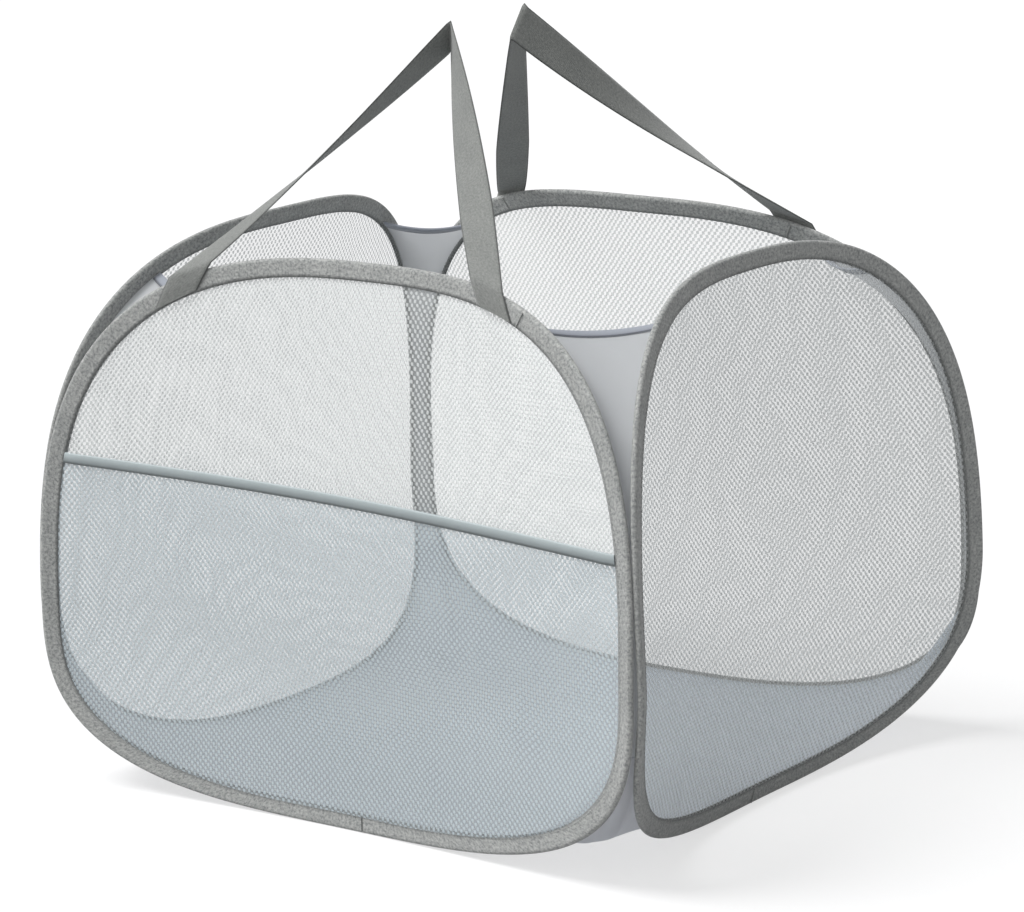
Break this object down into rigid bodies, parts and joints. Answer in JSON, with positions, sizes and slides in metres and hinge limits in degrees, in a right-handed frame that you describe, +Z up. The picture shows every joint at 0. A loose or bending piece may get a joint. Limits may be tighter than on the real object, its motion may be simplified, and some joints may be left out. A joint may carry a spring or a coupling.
{
  "type": "pop up laundry hamper",
  "caption": "Pop-up laundry basket: mesh panels on sprung wire hoops with taped edges, fabric corner gussets, a soft base, a front pocket and webbing carry handles.",
  "frame": {"origin": "on the floor under the middle of the base", "axes": "+Z up, -Y towards the front panel with the pocket, +X towards the right panel as seen from the front"},
  "size_m": [0.5074, 0.4468, 0.5345],
  "materials": {
    "edge_tape": "folded polyester binding tape, mid grey, matt",
    "mesh_cloth": "fine knitted polyester mesh, white, half see-through",
    "spring_wire": "plain spring steel",
    "nylon": "blue-grey coated nylon",
    "gusset_cloth": "light grey nylon",
    "webbing": "woven webbing, mid grey, matt"
  },
  "bodies": {
    "front_panel": {"front_mesh": "mesh_cloth", "front_binding": "edge_tape", "front_hoop_wire": "spring_wire", "front_wire_sleeve": "spring_wire", "front_pocket_mesh": "mesh_cloth", "front_pocket_hem": "nylon", "front_handle_left_end": "webbing", "front_handle_right_end": "webbing", "base_fabric": "nylon"},
    "right_panel": {"right_mesh": "mesh_cloth", "right_binding": "edge_tape", "right_hoop_wire": "spring_wire", "right_wire_sleeve": "spring_wire", "front_right_gusset": "gusset_cloth", "front_right_gusset_hem": "nylon"},
    "left_panel": {"left_mesh": "mesh_cloth", "left_binding": "edge_tape", "left_hoop_wire": "spring_wire", "left_wire_sleeve": "spring_wire", "front_left_gusset": "gusset_cloth", "front_left_gusset_hem": "nylon"},
    "back_panel": {"back_mesh": "mesh_cloth", "back_binding": "edge_tape", "back_hoop_wire": "spring_wire", "back_wire_sleeve": "spring_wire", "back_left_gusset": "gusset_cloth", "back_left_gusset_hem": "nylon", "back_handle_left_end": "webbing", "back_handle_right_end": "webbing"},
    "back_right_corner": {"back_right_gusset": "gusset_cloth", "back_right_gusset_hem": "nylon"},
    "front_handle": {"front_handle": "webbing"},
    "back_handle": {"back_handle": "webbing"}
  },
  "joints": [
    {"name": "right_panel_fold", "type": "hinge", "parent": "front_panel", "child": "right_panel", "pos_m": [0.2505, -0.2195, 0.133], "axis": [0, 0, -1], "range_deg": [0, 15], "stiffness_Nm_per_rad": 1, "deforming": ["front_right_gusset", "front_right_gusset_hem", "base_fabric"]},
    {"name": "left_panel_fold", "type": "hinge", "parent": "front_panel", "child": "left_panel", "pos_m": [-0.2425, -0.2115, 0.133], "axis": [0, 0, -1], "range_deg": [0, 15], "deforming": ["front_left_gusset", "front_left_gusset_hem"]},
    {"name": "back_panel_fold", "type": "hinge", "parent": "left_panel", "child": "back_panel", "pos_m": [-0.2505, 0.2195, 0.133], "axis": [0, 0, 1], "range_deg": [0, 15], "deforming": ["back_left_gusset", "back_left_gusset_hem"]},
    {"name": "back_right_corner_fold", "type": "hinge", "parent": "right_panel", "child": "back_right_corner", "pos_m": [0.2425, 0.2115, 0.133], "axis": [0, 0, 1], "range_deg": [0, 15], "deforming": ["back_right_gusset", "back_right_gusset_hem"]},
    {"name": "front_handle_swing", "type": "hinge", "parent": "front_panel", "child": "front_handle", "pos_m": [-0.01872, -0.1733, 0.37074], "axis": [0.9984, 0.0372, 0.0426], "range_deg": [-4, 190]},
    {"name": "back_handle_swing", "type": "hinge", "parent": "back_panel", "child": "back_handle", "pos_m": [0.00199, 0.17298, 0.37141], "axis": [-1, -0.004, 0.0045], "range_deg": [-4, 188]}
  ],
  "couplings": [
    {"joint": "left_panel_fold", "follows": "right_panel_fold", "ratio": 1},
    {"joint": "back_panel_fold", "follows": "right_panel_fold", "ratio": 1},
    {"joint": "back_right_corner_fold", "follows": "right_panel_fold", "ratio": 1}
  ]
}
